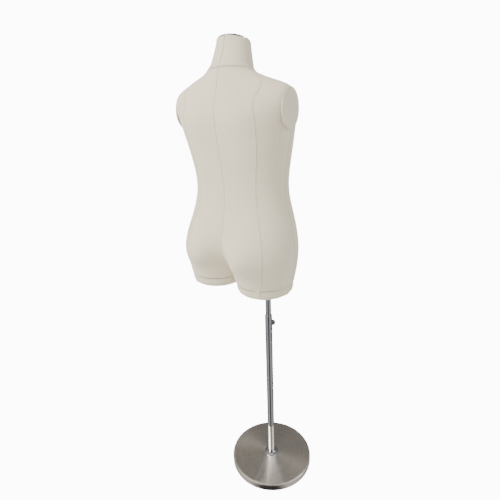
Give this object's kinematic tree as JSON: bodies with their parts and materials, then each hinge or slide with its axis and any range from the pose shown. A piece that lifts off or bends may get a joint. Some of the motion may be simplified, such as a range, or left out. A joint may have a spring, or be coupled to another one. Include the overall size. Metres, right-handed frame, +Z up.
{
  "type": "dress form mannequin",
  "caption": "Armless linen-covered torso with short thigh stubs on a telescopic pole, with a thumb-screw clamp and a round weighted base.",
  "frame": {"origin": "centre of the base's underside, on the floor under the pole's axis", "axes": "+Z up along the pole; the form faces -Y; its right thigh stands on the pole and its left side lies towards +X"},
  "size_m": [0.4543, 0.3048, 1.5071],
  "materials": {
    "linen": "undyed plain-weave linen, matt",
    "glass_fibre": "moulded, unpainted",
    "plywood": "sawn birch plywood",
    "chrome": "polished chrome plate",
    "brushed_base": "spun and brushed in rings, satin nickel",
    "steel": "zinc plated",
    "cast_iron": "as cast, black paint",
    "rubber": "moulded, matt",
    "nylon": "moulded nylon, satin"
  },
  "bodies": {
    "stand": {"base_liner": "rubber", "base_weight": "cast_iron", "base_cover": "brushed_base", "base_washer": "steel", "base_bolt": "steel", "pole_flange": "chrome", "outer_tube": "chrome", "tube_end_plug": "steel", "guide_bush": "nylon", "clamp_boss": "chrome"},
    "clamp_tip": {"clamp_pad": "nylon"},
    "thumb_screw": {"thumb_stud": "steel", "thumb_knob": "chrome"},
    "mast": {"inner_tube": "chrome", "tube_glide": "nylon", "tube_top_plug": "steel"},
    "torso": {"socket_tube": "steel", "socket_flange": "steel", "flange_screw_1": "steel", "flange_screw_2": "steel", "flange_screw_3": "steel", "torso_shell": "glass_fibre", "torso_cover": "linen", "neck_cover": "linen", "neck_block": "plywood", "neck_cap": "chrome", "neck_cap_stud": "steel", "hip_board": "plywood", "thigh_board_left": "plywood", "thigh_board_right": "plywood", "thigh_cover_left": "linen", "thigh_cover_right": "linen", "arm_plate_left": "linen", "arm_plate_right": "linen"}
  },
  "joints": [
    {"name": "mast_height", "type": "slide", "parent": "stand", "child": "mast", "axis": [0, 0, 1], "range_m": [-0.03, 0.3]},
    {"name": "torso_swivel", "type": "hinge", "parent": "mast", "child": "torso", "pos_m": [0, 0, 0.8], "axis": [0, 0, 1], "continuous": true},
    {"name": "clamp_travel", "type": "slide", "parent": "stand", "child": "clamp_tip", "axis": [0, -1, 0], "range_m": [0, 0.003]},
    {"name": "thumb_screw_turn", "type": "hinge", "parent": "clamp_tip", "child": "thumb_screw", "pos_m": [0, -0.02, 0.598], "axis": [0, -1, 0], "range_deg": [0, 1080]}
  ],
  "couplings": [
    {"joint": "thumb_screw_turn", "follows": "clamp_travel", "rad_per_m": 6283.2}
  ]
}
